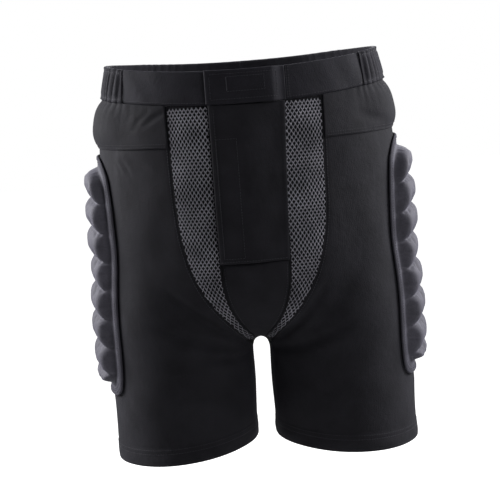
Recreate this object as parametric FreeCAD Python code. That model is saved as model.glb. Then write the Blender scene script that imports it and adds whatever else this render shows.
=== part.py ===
"""Padded impact shorts for skiing and snowboarding, as worn: millimetres, +Z up, the wearer faces -Y.

The origin is the centre of the waist opening. Every piece is a thin solid laid on one body form, a smooth
union of a capped torso and two legs, at its own distance outside the form. "Left" is the wearer's left, +X.
"""

import FreeCAD, Part  # noqa: E401  FreeCAD has to be imported before Part
import math
import os
from functools import lru_cache

Vector = FreeCAD.Vector

# ---- Body form -------------------------------------------------------------------------------------------
# height, half width, depth in front of the centre, depth behind it
TORSO = [
    (20, 133, 93, 93),
    (-17, 143, 97, 97),
    (-80, 154.5, 105, 110),
    (-150, 159.5, 109, 120),
    (-220, 160, 109, 123),
    (-300, 160, 109, 120),
]
# height, radius across, radius in front, radius behind
LEG = [
    (-80, 52, 60, 62),
    (-170, 66, 78, 82),
    (-240, 75.5, 86, 90),
    (-300, 76.5, 86, 88),
    (-430, 75.5, 81, 83),
]
LEG_X = 86.5  # distance of each leg's axis from the centre plane
CAP_TOP = -178  # the torso starts to close here
CAP_HEIGHT = 112  # height of the rounded closure at the crotch
CAP_POWER = 2.5
TORSO_SCALE = 100
LEG_SCALE = 80
BLEND_INSIDE = 20  # width of the soft join of torso and leg near the crotch
BLEND_OUTSIDE = 3  # the same at the outer side
BLEND_FROM, BLEND_TO = 45, 115  # distance from the centre plane over which it changes

# ---- Garment heights -------------------------------------------------------------------------------------
WAIST_SIDE = 5.4  # height of the waist's top edge at the sides
WAIST_TILT = 0.03  # its rise per mm towards the back
WAIST_DIP = 8.2  # its fall from the sides to the middle of the front and the back
WAIST_DEPTH = 95
BAND_HEIGHT = 34
YOKE_BOTTOM = -80
FLAP_BOTTOM = -198
MESH_BOTTOM = -306
CROTCH_SIDE = -308  # where the crotch panel's edge meets the inseam
GUSSET_BACK = -233  # the crotch panel's narrow end at the back
HEM_HEIGHT = -411  # at the leg's axis
HEM_TILT = 6.9  # the outer side of a hem is this much lower than its axis
HEM_FOLD = 20

# ---- Fabric layers, as distances outside the body form ---------------------------------------------------
GAP = 0.4
FABRIC = 1.2
PANEL_IN = 0.4
PANEL_OUT = PANEL_IN + FABRIC
OVERLAY = PANEL_OUT + GAP  # whatever is sewn on top of a body panel starts here
PAD_START = OVERLAY + 0.9
COVER = 0.9
FOAM_GAP = 0.2  # least distance between a foam and its cover
FOAM_SHARE = 0.85  # how high a foam rises, as a share of its cover
HIP_GAP = 1.3  # how much less than the hip yoke the hip foam rises
FOAM_EDGE = 0.35  # thickness of a foam at its rim
TAPE = 1.0  # thickness of each half of the hook-and-loop tape

# ---- Waistband and fly -----------------------------------------------------------------------------------
BAND_FLAT_OUT = 3.4  # outside of the flat front part
BAND_CASING_OUT = 4.6  # outside of the gathered part
CASING_FABRIC = 1.1
ELASTIC_FROM = math.radians(-58)  # the front parts end here and the casing starts
FLY_HALF_WIDTH = 34  # from the centre to the seam with each mesh strip
GUSSET_TURN = -282  # here the crotch panel's front edges turn towards the inseams
GUSSET_HALF_WIDTH = 7  # and this is its half width
UNDERLAP_END = 20  # the right band runs this far past the centre, under the tab
SEAM_TOP, SEAM_FOOT = (41.5, -20), (34.5, -198)  # x and z at the ends of the seam that the fly turns about
TAB_EDGE = -36
TAB_THICK = 2.0
FLAP_EDGE = -34.5
FLAP_THICK = 1.5
HOOK_STRIP = (-31, -8)
STRIP_TOP, STRIP_BOTTOM = -72, -194
PATCH = (-30, 12)


def smoothstep(low, high, value):
    t = min(1.0, max(0.0, (value - low) / (high - low)))
    return t * t * (3 - 2 * t)


def between(table, z, column):
    """A smooth curve through one column of a table of heights, by Hermite spans."""
    if z >= table[0][0]:
        return table[0][column]
    if z <= table[-1][0]:
        return table[-1][column]
    i = next(k for k in range(len(table) - 1) if table[k + 1][0] <= z)
    z0, z1 = table[i][0], table[i + 1][0]

    def slope(k):
        a, b = max(k - 1, 0), min(k + 1, len(table) - 1)
        return (table[b][column] - table[a][column]) / (table[b][0] - table[a][0])

    t = (z - z0) / (z1 - z0)
    span = z1 - z0
    value = (2 * t**3 - 3 * t**2 + 1) * table[i][column]
    value += (t**3 - 2 * t**2 + t) * span * slope(i)
    value += (3 * t**2 - 2 * t**3) * table[i + 1][column]
    value += (t**3 - t**2) * span * slope(i + 1)
    return value


@lru_cache(maxsize=None)
def sizes(z):
    """Half width, depth in front and depth behind, of the torso and then of the leg."""
    return [between(table, z, column) for table in (TORSO, LEG) for column in (1, 2, 3)]


def form(x, y, z):
    """Negative inside the left half of the body form, zero on it, about millimetres outside it."""
    half, half_front, half_back, across, leg_front, leg_back = sizes(z)
    cap = max(0.0, (CAP_TOP - z) / CAP_HEIGHT)
    ring = math.hypot(x / half, y / (half_front if y < 0 else half_back))
    torso = ((ring**CAP_POWER + cap**CAP_POWER) ** (1 / CAP_POWER) - 1) * TORSO_SCALE
    leg = (math.hypot((x - LEG_X) / across, y / (leg_front if y < 0 else leg_back)) - 1) * LEG_SCALE
    blend = BLEND_INSIDE + (BLEND_OUTSIDE - BLEND_INSIDE) * smoothstep(BLEND_FROM, BLEND_TO, x)
    overlap = max(0.0, blend - abs(torso - leg))
    return min(torso, leg) - overlap * overlap / (4 * blend)


def root(function, low, high, steps=26):
    """Where a function that is negative at low and positive at high crosses zero."""
    for _ in range(steps):
        middle = (low + high) / 2
        if function(middle) < 0:
            low = middle
        else:
            high = middle
    return (low + high) / 2


@lru_cache(maxsize=None)
def reach(angle, z):
    """Distance of the left half's surface from the leg's axis."""
    c, s = math.cos(angle), math.sin(angle)
    return root(lambda d: form(LEG_X + d * c, d * s, z), 5, 190)


def ray(angle, z):
    """The left half's point at an angle round the leg's axis: 0 is the outer side, -90 degrees the front."""
    r = reach(angle, z)
    return Vector(LEG_X + r * math.cos(angle), r * math.sin(angle), z)


def outward(p):
    """The form's outward direction at a point of the left half."""
    e = 0.5
    g = Vector(
        form(p.x + e, p.y, p.z) - form(p.x - e, p.y, p.z),
        form(p.x, p.y + e, p.z) - form(p.x, p.y - e, p.z),
        form(p.x, p.y, p.z + e) - form(p.x, p.y, p.z - e),
    )
    return g.normalize()


def on_left(angle, z, offset):
    p = ray(angle, z)
    return p + outward(p) * offset


def mirrored(p):
    return Vector(-p.x, p.y, p.z)


@lru_cache(maxsize=None)
def angle_at(x, z, face):
    """The angle at which the left half is x from the centre plane: face -1 is the front and +1 the back."""
    return face * root(lambda a: x - ray(face * a, z).x, 0.0, math.pi)


def across(x, z, offset, face):
    """A point on the front (face -1) or back (face +1) at any x, either side of the centre."""
    p = ray(angle_at(abs(x), z, face), z)
    n = outward(p)
    if abs(x) < 0.01:
        n = Vector(0, n.y, n.z).normalize()
    p = p + n * offset
    return mirrored(p) if x < 0 else p


def waist_top(y):
    return WAIST_SIDE + WAIST_TILT * y - WAIST_DIP * (y / WAIST_DEPTH) ** 2


@lru_cache(maxsize=None)
def under_band(angle):
    """Height just under the waistband at an angle of the left half."""
    return waist_top(ray(angle, -BAND_HEIGHT).y) - BAND_HEIGHT - GAP


def under_band_at(x, face):
    return under_band(angle_at(abs(x), -BAND_HEIGHT, face))


def hem(angle):
    return HEM_HEIGHT - HEM_TILT * math.cos(angle)


def sweep_in(z, top, bottom, power, root_power):
    """0 at the top, 1 at the bottom, staying near 0 for most of the way, as a superellipse does."""
    t = min(1.0, max(0.0, (top - z) / (top - bottom)))
    return 1 - (1 - t**power) ** (1 / root_power)


def mesh_outer(z):
    """Angle of the seam between the mesh strip and the front panel, which runs on to the inseam."""
    return math.radians(-96 - 84 * sweep_in(z, -35, CROTCH_SIDE, 5, 1.3))


@lru_cache(maxsize=None)
def fly_seam(z):
    """Angle of the seam between the mesh strip and the fly, then the crotch panel, down to the inseam."""
    narrowing = sweep_in(z, FLAP_BOTTOM, GUSSET_TURN, 2.5, 1.0)
    x = GUSSET_HALF_WIDTH + (FLY_HALF_WIDTH - GUSSET_HALF_WIDTH) * (1 - narrowing)
    angle = angle_at(x, max(z, GUSSET_TURN), -1)
    return angle - (math.pi + angle) * max(0.0, (GUSSET_TURN - z) / (GUSSET_TURN - CROTCH_SIDE))


@lru_cache(maxsize=None)
def gusset_back(z):
    """Angle of the seam between the back panel and the crotch panel, or the centre back seam above it."""
    centre = angle_at(0.15, z, 1) if z > CAP_TOP - CAP_HEIGHT else math.pi
    gusset = math.radians(126.5 + 53.5 * sweep_in(z, -200, CROTCH_SIDE, 6, 1.4))
    soft = 0.03
    overlap = max(0.0, soft - abs(centre - gusset))
    return min(centre, gusset) - overlap * overlap / (4 * soft)


# ---- Solids ----------------------------------------------------------------------------------------------
FORWARD = 1  # a ruled wall joins two edges that run the same way


def face_and_edges(grid):
    """The face through a grid of points, with its four boundary curves."""
    surface = Part.BSplineSurface()
    surface.interpolate(grid)
    u0, u1, v0, v1 = surface.bounds()
    edges = [surface.uIso(u0), surface.uIso(u1), surface.vIso(v0), surface.vIso(v1)]
    return surface.toShape(), [e.toShape() for e in edges]


def even(count):
    return [k / count for k in range(count + 1)]


def closer(count, start, end, times):
    """Shares from 0 to 1, closer together between start and end by a factor."""
    gain = (end - start) * (times - 1)

    def share(t):
        t *= 1 + gain
        if t < start:
            return t
        return start + (t - start) / times if t < end + gain else t - gain

    return [share(t) for t in even(count)]


def sheet(place, rows, columns, inside, outside):
    """A closed solid: place(u, v, offset) gives its points, inside(u, v) and outside(u, v) its two faces.
    rows is how many spaces there are along v, or a list of the shares."""

    def grid(offset):
        vs = rows if isinstance(rows, list) else even(rows)
        return [[place(u, v, offset(u, v)) for u in even(columns)] for v in vs]

    inner, inner_edges = face_and_edges(grid(inside))
    outer, outer_edges = face_and_edges(grid(outside))
    walls = [Part.makeRuledSurface(a, b, FORWARD) for a, b in zip(inner_edges, outer_edges)]
    return closed([inner, outer, *walls])


def closed(faces):
    shell = Part.Shell([f for shape in faces for f in shape.Faces])
    shell.sewShape()
    solid = Part.Solid(shell)
    if solid.Volume < 0:
        solid.reverse()
    if not solid.isValid() or not solid.isClosed():
        raise ValueError("a sheet didn't close")
    return solid


def level(value):
    return lambda u, v: value


def mirror(shape):
    return shape.mirror(Vector(0, 0, 0), Vector(1, 0, 0))


def panel(left, right, top, bottom, rows, columns, inner=PANEL_IN, outer=PANEL_OUT):
    """A sheet of the left half between two angles, each a function of height, and two heights, each a
    function of angle."""

    def place(u, v, offset):
        high = top(left(top(0)) * (1 - u) + right(top(0)) * u)
        low_angle = left(bottom(0)) * (1 - u) + right(bottom(0)) * u
        z = high + (bottom(low_angle) - high) * v
        return on_left(left(z) * (1 - u) + right(z) * u, z, offset)

    return sheet(place, rows, columns, level(inner), level(outer))


def centre_panel(x0, x1, top, bottom, rows, columns, inner, outer, face=-1, lean=0.0):
    """A sheet across the centre between two distances from it. inner and outer are functions of x, and its
    side at x1 moves towards x0 by lean per millimetre of drop."""

    def place(u, v, offset):
        x = x0 + (x1 - x0) * u
        drop = (top(x) - bottom(x)) * v
        return across(x - lean * drop * u, top(x) - drop, offset, face)

    def at(value):
        return lambda u, v: value(x0 + (x1 - x0) * u)

    return sheet(place, rows, columns, at(inner), at(outer))


# ---- Waistband -------------------------------------------------------------------------------------------
def band(stations, section):
    """A band round the waist. A station is (side, angle); section lists (offset, height above its foot)."""
    wires = []
    for side, angle in stations:
        foot = under_band(angle) + GAP
        middle = ray(angle, foot + BAND_HEIGHT / 2)
        flat = outward(middle)
        along = Vector(-flat.y, flat.x, 0).normalize()
        points = []
        for offset, height in section:
            p = on_left(angle, foot + height, offset)
            p = p - along * (p - middle).dot(along)
            points.append(p if side > 0 else mirrored(p))
        wires.append(Part.makePolygon(points + points[:1]))
    return Part.makeLoft(wires, True, False)


def stations(side, start, end, count):
    return [(side, start + (end - start) * k / count) for k in range(count + 1)]


def rectangle(inner, outer, low, high):
    return [(inner, low), (outer, low), (outer, high), (inner, high)]


def casing_section():
    """A folded strip, open at its foot, with the elastic's room between its two walls."""
    inner_wall, outer_wall = PANEL_IN + CASING_FABRIC, BAND_CASING_OUT - CASING_FABRIC
    fold = BAND_HEIGHT - CASING_FABRIC
    return [
        (PANEL_IN, 0),
        (inner_wall, 0),
        (inner_wall, fold),
        (outer_wall, fold),
        (outer_wall, 0),
        (BAND_CASING_OUT, 0),
        (BAND_CASING_OUT, BAND_HEIGHT),
        (PANEL_IN, BAND_HEIGHT),
    ]


def waistband_nodes():
    centre = angle_at(0, -BAND_HEIGHT / 2, -1)
    centre_back = angle_at(0, -BAND_HEIGHT / 2, 1)
    flat = rectangle(PANEL_IN, BAND_FLAT_OUT, 0, BAND_HEIGHT)
    left = stations(1, angle_at(SEAM_TOP[0] + 1.8, -17, -1), ELASTIC_FROM - 0.004, 8)
    right = stations(-1, ELASTIC_FROM - 0.004, centre, 10)
    right += stations(1, centre, angle_at(UNDERLAP_END, -17, -1), 3)[1:]
    round_back = stations(1, ELASTIC_FROM, centre_back, 18)
    round_back += stations(-1, centre_back, ELASTIC_FROM, 18)[1:]
    clear = 0.35
    elastic = rectangle(
        PANEL_IN + CASING_FABRIC + clear,
        BAND_CASING_OUT - CASING_FABRIC - clear,
        1.5,
        BAND_HEIGHT - CASING_FABRIC - 1.2,
    )
    return {
        "waistband_front_left": band(left, flat),
        "waistband_front_right": band(right, flat),
        "waistband_back": band(round_back, casing_section()),
        "waist_elastic": band(round_back, elastic),
    }


# ---- Fly -------------------------------------------------------------------------------------------------
def tab_inner(x):
    """The tab lies on the tape over the underlap, and comes down to the left band at its seam."""
    low, high = BAND_FLAT_OUT - TAB_THICK, BAND_FLAT_OUT + 2 * TAPE + 3 * GAP
    return low + (high - low) * smoothstep(SEAM_TOP[0] - 1.5, SEAM_TOP[0] - 14, x)


def flap_inner(x):
    """The flap lies on the tape at its free edge, and comes down to the underlap at its seam."""
    return OVERLAY + (2 * TAPE + 2 * GAP) * smoothstep(32, -3, x)


def tape(span, top, bottom, start, rows):
    """One half of a hook-and-loop fastening, on the front."""
    return centre_panel(*span, top, bottom, rows, 4, lambda x: start, lambda x: start + TAPE)


def fly_nodes():
    def band_foot(x):
        return under_band_at(x, -1)

    def band_head(x):
        return band_foot(x) + BAND_HEIGHT + GAP

    hook = BAND_FLAT_OUT + GAP
    patch_top, patch_bottom = (lambda x: band_head(x) - 6), (lambda x: band_foot(x) + 7)
    strip_top, strip_bottom = (lambda x: STRIP_TOP), (lambda x: STRIP_BOTTOM)
    edge = FLY_HALF_WIDTH - GAP / 2
    lean = (SEAM_TOP[0] - SEAM_FOOT[0]) / (SEAM_TOP[1] - SEAM_FOOT[1])
    return {
        "waist_tab": centre_panel(
            TAB_EDGE, SEAM_TOP[0], band_head, lambda x: band_foot(x) + GAP, 5, 16,
            tab_inner, lambda x: tab_inner(x) + TAB_THICK,
        ),
        "waist_hook_patch": tape(PATCH, patch_top, patch_bottom, hook, 3),
        "waist_loop_patch": tape(PATCH, patch_top, patch_bottom, hook + TAPE + GAP, 3),
        "fly_flap": centre_panel(
            FLAP_EDGE, SEAM_TOP[0] - 1.1, band_foot, lambda x: FLAP_BOTTOM, 14, 14,
            flap_inner, lambda x: flap_inner(x) + FLAP_THICK, lean=lean,
        ),
        "fly_hook_strip": tape(HOOK_STRIP, strip_top, strip_bottom, OVERLAY, 10),
        "fly_loop_strip": tape(HOOK_STRIP, strip_top, strip_bottom, OVERLAY + TAPE + GAP, 10),
        "fly_underlap": centre_panel(
            -edge, edge, lambda x: band_foot(x) - GAP, lambda x: FLAP_BOTTOM + GAP / 2, 14, 8,
            lambda x: PANEL_IN, lambda x: PANEL_OUT,
        ),
    }


# ---- Crotch ----------------------------------------------------------------------------------------------
HIP_CENTRE = -150


def crotch_end(z, face):
    """Direction, seen from a point in the middle of the hips, of the centre line at a height."""
    return math.atan2(z - HIP_CENTRE, ray(angle_at(0.15, z, face), z).y)


def crotch_curve(t):
    """The centre line under the body, from the fly's foot (t 0) to the seat (t 1)."""
    start, end = crotch_end(FLAP_BOTTOM - GAP, -1), crotch_end(GUSSET_BACK, 1)
    turn = start + (end - start) * t
    c, s = math.cos(turn), math.sin(turn)
    d = root(lambda r: form(0, r * c, HIP_CENTRE + r * s), 20, 190)
    return Vector(0, d * c, HIP_CENTRE + d * s)


def crotch_edge(t):
    """The crotch panel's edge on the left half, across from crotch_curve(t)."""
    front = t < 0.5
    end = FLAP_BOTTOM - GAP if front else GUSSET_BACK
    z = end + (CROTCH_SIDE - end) * math.sin(math.pi * min(t, 1 - t))
    return ray(fly_seam(z) - 0.003 if front else gusset_back(z) + 0.011, z)


def crotch_panel():
    def place(u, v, offset):
        side, w = (1, 2 * u - 1) if u >= 0.5 else (-1, 1 - 2 * u)
        middle, edge = crotch_curve(v), crotch_edge(v)
        p = middle + (edge - middle) * w
        for _ in range(6):
            value, n = form(p.x, p.y, p.z), outward(p)
            p = p - n * value * 0.9
        n = outward(p)
        if w < 0.01:
            n = Vector(0, n.y, n.z).normalize()
        p = p + n * offset
        return p if side > 0 else mirrored(p)

    return sheet(place, 44, 12, level(PANEL_IN), level(PANEL_OUT))


# ---- Ribbed impact pads ----------------------------------------------------------------------------------
class Pad:
    """A ribbed foam pad under a moulded cover, edged with a binding. s runs round the body, 0 mid-pad."""

    flange = 8.0
    binding = 4.5
    binding_thick = 2.4
    crease = 0.42  # share of the height lost in the creases between ribs

    def __init__(self, place, top, bottom, half_width, height, ribs, top_round, foot_round, last_rib=1.0):
        self.place = place
        self.half_width, self.half_height = half_width, (top - bottom) / 2
        self.middle = (top + bottom) / 2
        self.height, self.ribs, self.last_rib = height, ribs, last_rib
        self.top_round, self.foot_round = top_round, foot_round

    def pull(self, u, v):
        """How far the rim is drawn in at a place in the square from -1 to 1: factors on width and height."""
        corner = self.foot_round + (self.top_round - self.foot_round) * smoothstep(-0.7, 0.7, v)
        power = 0.72 * (1 - corner) / corner
        return 1 - corner * abs(v) ** power, 1 - corner * abs(u) ** power

    def spot(self, u, v, inset):
        """(s, z) of a place in the square, whose rim falls on the outline moved in by inset."""
        wide, high = self.pull(u, v)
        s = (self.half_width - inset) * u * wide
        return s, self.middle + (self.half_height - inset) * v * high

    def rise(self, s, z):
        """Height of the cover's underside over the flange."""
        inset = self.binding + self.flange
        half_width, half_height = self.half_width - inset, self.half_height - inset
        u, v = s / half_width, (z - self.middle) / half_height
        for _ in range(12):
            wide, high = self.pull(max(-1.0, min(1.0, u)), max(-1.0, min(1.0, v)))
            u, v = s / half_width / wide, (z - self.middle) / half_height / high
        across = smoothstep(0, self.height, (1 - abs(u)) * half_width)
        along = smoothstep(0, self.height, (1 - abs(v)) * half_height)
        pitch = 2 * half_height / (self.ribs - 1 + self.last_rib)
        share = max(0.0, (self.middle + half_height - z) / pitch)
        if share > self.ribs - 1:
            share = min(1.0, (share - self.ribs + 1) / self.last_rib)
        rib = 1 - self.crease * math.cos(math.pi * share) ** 4
        return self.height * rib * across * along

    def solid(self, inset, rows, columns, inner, outer):
        """A sheet inside the outline, moved in by inset."""

        def spot(u, v):
            return self.spot(2 * u - 1, 1 - 2 * v, inset)

        return sheet(
            lambda u, v, offset: self.place(*spot(u, v), offset),
            rows, columns,
            lambda u, v: inner(*spot(u, v)),
            lambda u, v: outer(*spot(u, v)),
        )

    def cover(self):
        return self.solid(
            self.binding + GAP, self.ribs * 10, 32,
            lambda s, z: PAD_START + self.rise(s, z),
            lambda s, z: PAD_START + self.rise(s, z) + COVER,
        )

    def foam(self):
        return self.solid(
            self.binding + self.flange + 9, self.ribs * 16, 24,
            lambda s, z: PAD_START - FOAM_GAP - FOAM_EDGE,
            lambda s, z: PAD_START - FOAM_GAP + FOAM_SHARE * self.rise(s, z),
        )

    def edging(self):
        """The binding, in two lengths that meet at the middle of the top and of the foot."""
        side, end = 2 * self.half_height, self.half_width
        length = side + 2 * end

        def rim(way):
            """The rim of the square, from the middle of the top down one side to the middle of the foot."""
            way *= length
            if way < end:
                return way / end, 1.0
            if way < end + side:
                return 1.0, 1 - 2 * (way - end) / side
            return (length - way) / end, -1.0

        def half(hand):
            def place(u, v, offset):
                s, z = self.spot(*rim(v), self.binding * (1 - u))
                return self.place(hand * s, z, offset)

            return sheet(place, 52, 3, level(PAD_START), level(PAD_START + self.binding_thick))

        return Part.Compound([half(1), half(-1)])


SIDE_RADIUS = 80  # girth per radian round the leg's axis, at the hip
SEAT_RADIUS = 113
SEAT_ANGLE = math.radians(90)


def on_side(s, z, offset):
    return on_left(s / SIDE_RADIUS, z, offset)


def on_seat(s, z, offset):
    return on_left(SEAT_ANGLE + s / SEAT_RADIUS, z, offset)


def on_tailbone(s, z, offset):
    return across(s, z, offset, 1)


SIDE_PAD = Pad(on_side, -88, -343, 61, 12.5, 8, 0.17, 0.08, last_rib=0.6)
SEAT_PAD = Pad(on_seat, -130, -262, 44, 10, 4, 0.2, 0.2)
TAILBONE_PAD = Pad(on_tailbone, -48, -142, 30, 8, 3, 0.16, 0.22)


# ---- Hip yoke --------------------------------------------------------------------------------------------
HIP_FOAM = (math.radians(-68), math.radians(45))
HIP_FOAM_HEIGHT = 6.0


def hip_rise(angle, z, top):
    """Height of the yoke's underside over the body panel, where the hip foam lifts it."""
    middle, half = (top + YOKE_BOTTOM) / 2, (top - YOKE_BOTTOM) / 2 - 2
    turn = (angle - sum(HIP_FOAM) / 2) / ((HIP_FOAM[1] - HIP_FOAM[0]) / 2)
    crown = max(0.0, 1 - abs((z - middle) / half) ** 3)
    return HIP_FOAM_HEIGHT * crown * smoothstep(0, 0.25, 1 - abs(turn))


def yoke_nodes():
    start, end = mesh_outer(-60) + 0.006, angle_at(36, -60, 1)

    def yoke(u, v, offset):
        angle = start + (end - start) * u
        top = under_band(angle)
        return on_left(angle, top + (YOKE_BOTTOM - top) * v, offset)

    def yoke_rise(u, v):
        angle = start + (end - start) * u
        top = under_band(angle)
        return hip_rise(angle, top + (YOKE_BOTTOM - top) * v, top)

    foam_start, foam_end = HIP_FOAM[0] + 0.12, HIP_FOAM[1] - 0.12
    inset = 0.12

    def foam(u, v, offset):
        angle = foam_start + (foam_end - foam_start) * u
        top = under_band(angle)
        return on_left(angle, top + (YOKE_BOTTOM - top) * (inset + (1 - 2 * inset) * v), offset)

    def foam_rise(u, v):
        angle = foam_start + (foam_end - foam_start) * u
        top = under_band(angle)
        return hip_rise(angle, top + (YOKE_BOTTOM - top) * (inset + (1 - 2 * inset) * v), top)

    return {
        "hip_yoke": sheet(
            yoke, 14, 44,
            lambda u, v: OVERLAY + yoke_rise(u, v),
            lambda u, v: OVERLAY + yoke_rise(u, v) + FABRIC,
        ),
        "hip_foam": sheet(
            foam, 12, 28, level(OVERLAY), lambda u, v: OVERLAY + max(FOAM_EDGE, foam_rise(u, v) - HIP_GAP)
        ),
    }


# ---- Body panels -----------------------------------------------------------------------------------------
def body_nodes():
    side_gap = 0.004
    rows = closer(64, 0.58, 0.75, 4)
    return {
        "front_panel": panel(
            lambda z: mesh_outer(z) + 0.008, lambda z: -side_gap, lambda a: under_band(a) - GAP, hem, rows, 24
        ),
        "back_panel": panel(
            lambda z: side_gap, lambda z: gusset_back(z) - 0.006, lambda a: under_band(a) - GAP, hem, rows, 24
        ),
        "mesh_panel": panel(
            lambda z: fly_seam(z) + 0.003, lambda z: mesh_outer(z) - 0.002,
            lambda a: under_band(a) - GAP, lambda a: MESH_BOTTOM,
            closer(40, 0.75, 1, 3), 8,
        ),
        "hem_facing": panel(
            lambda z: -math.pi + 0.01, lambda z: math.pi - 0.01,
            lambda a: hem(a) + HEM_FOLD, lambda a: hem(a) + 0.6,
            4, 28, inner=-0.7, outer=0.1,
        ),
    }


def label_nodes():
    size_label = centre_panel(
        -19, 19, lambda x: -11, lambda x: -31, 4, 6, lambda x: -0.9, lambda x: -0.4, face=1
    )
    care_label = panel(
        lambda z: math.radians(62), lambda z: math.radians(74), lambda a: -46, lambda a: -92, 5, 4,
        inner=-0.6, outer=-0.1,
    )
    return {"size_label": size_label, "care_label": care_label}


def build():
    nodes = {}
    nodes.update(waistband_nodes())
    nodes.update(fly_nodes())
    nodes["crotch_panel"] = crotch_panel()
    nodes.update(label_nodes())
    nodes["tailbone_pad_cover"] = TAILBONE_PAD.cover()
    nodes["tailbone_pad_foam"] = TAILBONE_PAD.foam()
    nodes["tailbone_pad_binding"] = TAILBONE_PAD.edging()
    paired = {**body_nodes(), **yoke_nodes()}
    for name, pad in (("side_pad", SIDE_PAD), ("seat_pad", SEAT_PAD)):
        paired[name + "_cover"] = pad.cover()
        paired[name + "_foam"] = pad.foam()
        paired[name + "_binding"] = pad.edging()
    for name, shape in paired.items():
        nodes[name + "_left"] = shape
        nodes[name + "_right"] = mirror(shape)
    return nodes


def main():
    os.makedirs("parts", exist_ok=True)
    total = 0.0
    for name, shape in sorted(build().items()):
        shape.exportStep(f"parts/{name}.step")
        total += shape.Volume
        print(f"{name:28s} {shape.Volume / 1000:8.2f} cm3  {'valid' if shape.isValid() else 'INVALID'}")
    print(f"{'all':28s} {total / 1000:8.2f} cm3")


main()
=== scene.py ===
"""Looks of the padded impact shorts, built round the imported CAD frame.

Shapes are worked out in millimetres on the same body form as the CAD sheets, and become metres in new_mesh.
The wearer faces -Y, and "left" is the wearer's left, +X.
"""

import math

import bpy
import numpy as np
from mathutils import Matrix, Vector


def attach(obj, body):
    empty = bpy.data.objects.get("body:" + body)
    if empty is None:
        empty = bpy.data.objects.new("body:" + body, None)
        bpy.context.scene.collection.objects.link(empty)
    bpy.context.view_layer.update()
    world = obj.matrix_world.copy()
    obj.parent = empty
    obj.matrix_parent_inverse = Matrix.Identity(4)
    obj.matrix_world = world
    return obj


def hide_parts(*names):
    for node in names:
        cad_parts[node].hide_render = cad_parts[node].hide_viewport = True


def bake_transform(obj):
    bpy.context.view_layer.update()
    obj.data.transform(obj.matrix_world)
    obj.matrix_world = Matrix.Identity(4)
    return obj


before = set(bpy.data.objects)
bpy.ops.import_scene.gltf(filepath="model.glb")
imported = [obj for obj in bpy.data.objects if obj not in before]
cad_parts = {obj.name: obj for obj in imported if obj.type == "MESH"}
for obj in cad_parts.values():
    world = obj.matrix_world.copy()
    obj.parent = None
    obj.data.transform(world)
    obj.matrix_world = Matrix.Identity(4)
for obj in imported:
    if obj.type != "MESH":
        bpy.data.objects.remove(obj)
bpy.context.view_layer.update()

MM = 0.001
HALVINGS = 22
rng = np.random.default_rng(11)

# ---- Body form, as in the CAD source ----
# height, half width, depth in front of the centre, depth behind it
TORSO = np.array([
    (20, 133, 93, 93), (-17, 143, 97, 97), (-80, 154.5, 105, 110),
    (-150, 159.5, 109, 120), (-220, 160, 109, 123), (-300, 160, 109, 120),
], float)
# height, radius across, radius in front, radius behind
LEG = np.array([
    (-80, 52, 60, 62), (-170, 66, 78, 82), (-240, 75.5, 86, 90), (-300, 76.5, 86, 88), (-430, 75.5, 81, 83),
], float)
LEG_X = 86.5
CAP_TOP, CAP_HEIGHT, CAP_POWER = -178, 112, 2.5
TORSO_SCALE, LEG_SCALE = 100, 80
BLEND_INSIDE, BLEND_OUTSIDE = 20, 3
BLEND_FROM, BLEND_TO = 45, 115

# ---- Garment ----
WAIST_SIDE, WAIST_TILT, WAIST_DIP = 5.4, 0.03, 8.2
WAIST_DEPTH, WAIST_WIDTH = 95, 147
BAND_HEIGHT = 34
YOKE_BOTTOM = -80
FLAP_BOTTOM = -198
MESH_BOTTOM = -306
CROTCH_SIDE = -308
GUSSET_BACK = -233
GUSSET_TURN, GUSSET_HALF_WIDTH = -282, 7
FLY_HALF_WIDTH = 34
HEM_HEIGHT, HEM_TILT, HEM_FOLD = -411, 6.9, 20
GAP = 0.4
FABRIC = 1.2
PANEL_IN = 0.4
PANEL_OUT = PANEL_IN + FABRIC
OVERLAY = PANEL_OUT + GAP
TAPE = 1.0
BAND_FLAT_OUT, BAND_CASING_OUT = 3.4, 4.6
ELASTIC_FROM = math.radians(-58)
PAD_START = OVERLAY + 0.9
COVER = 0.9
SEAM_TOP, SEAM_FOOT = (41.5, -20), (34.5, -198)
LEAN = (SEAM_TOP[0] - SEAM_FOOT[0]) / (SEAM_TOP[1] - SEAM_FOOT[1])
FLAP_EDGE, TAB_EDGE = -34.5, -36
TAB_THICK, FLAP_THICK = 2.0, 1.5
UNDERLAP_END = 20
HOOK_STRIP, STRIP_TOP, STRIP_BOTTOM = (-31, -8), -72, -194
PATCH = (-30, 12)
HIP_CENTRE = -150
HIP_FOAM = (math.radians(-68), math.radians(45))
HIP_FOAM_HEIGHT = 6.0
# Each pad's top, foot and half width, and for two of them the radius that turns its width into an angle
SIDE_AREA, SEAT_AREA, TAILBONE_AREA = (-88, -343, 61), (-130, -262, 44), (-48, -142, 30)
SIDE_RADIUS, SEAT_RADIUS = 80, 113
SIDES = {"left": 1, "right": -1}


def smoothstep(low, high, value):
    t = np.clip((value - low) / (high - low), 0, 1)
    return t * t * (3 - 2 * t)


def hermite(values, slopes, i, t, span):
    """Values at shares t of the spans that start at i."""
    value = (2 * t**3 - 3 * t**2 + 1) * values[i] + (t**3 - 2 * t**2 + t) * span * slopes[i]
    return value + (3 * t**2 - 2 * t**3) * values[i + 1] + (t**3 - t**2) * span * slopes[i + 1]


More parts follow.
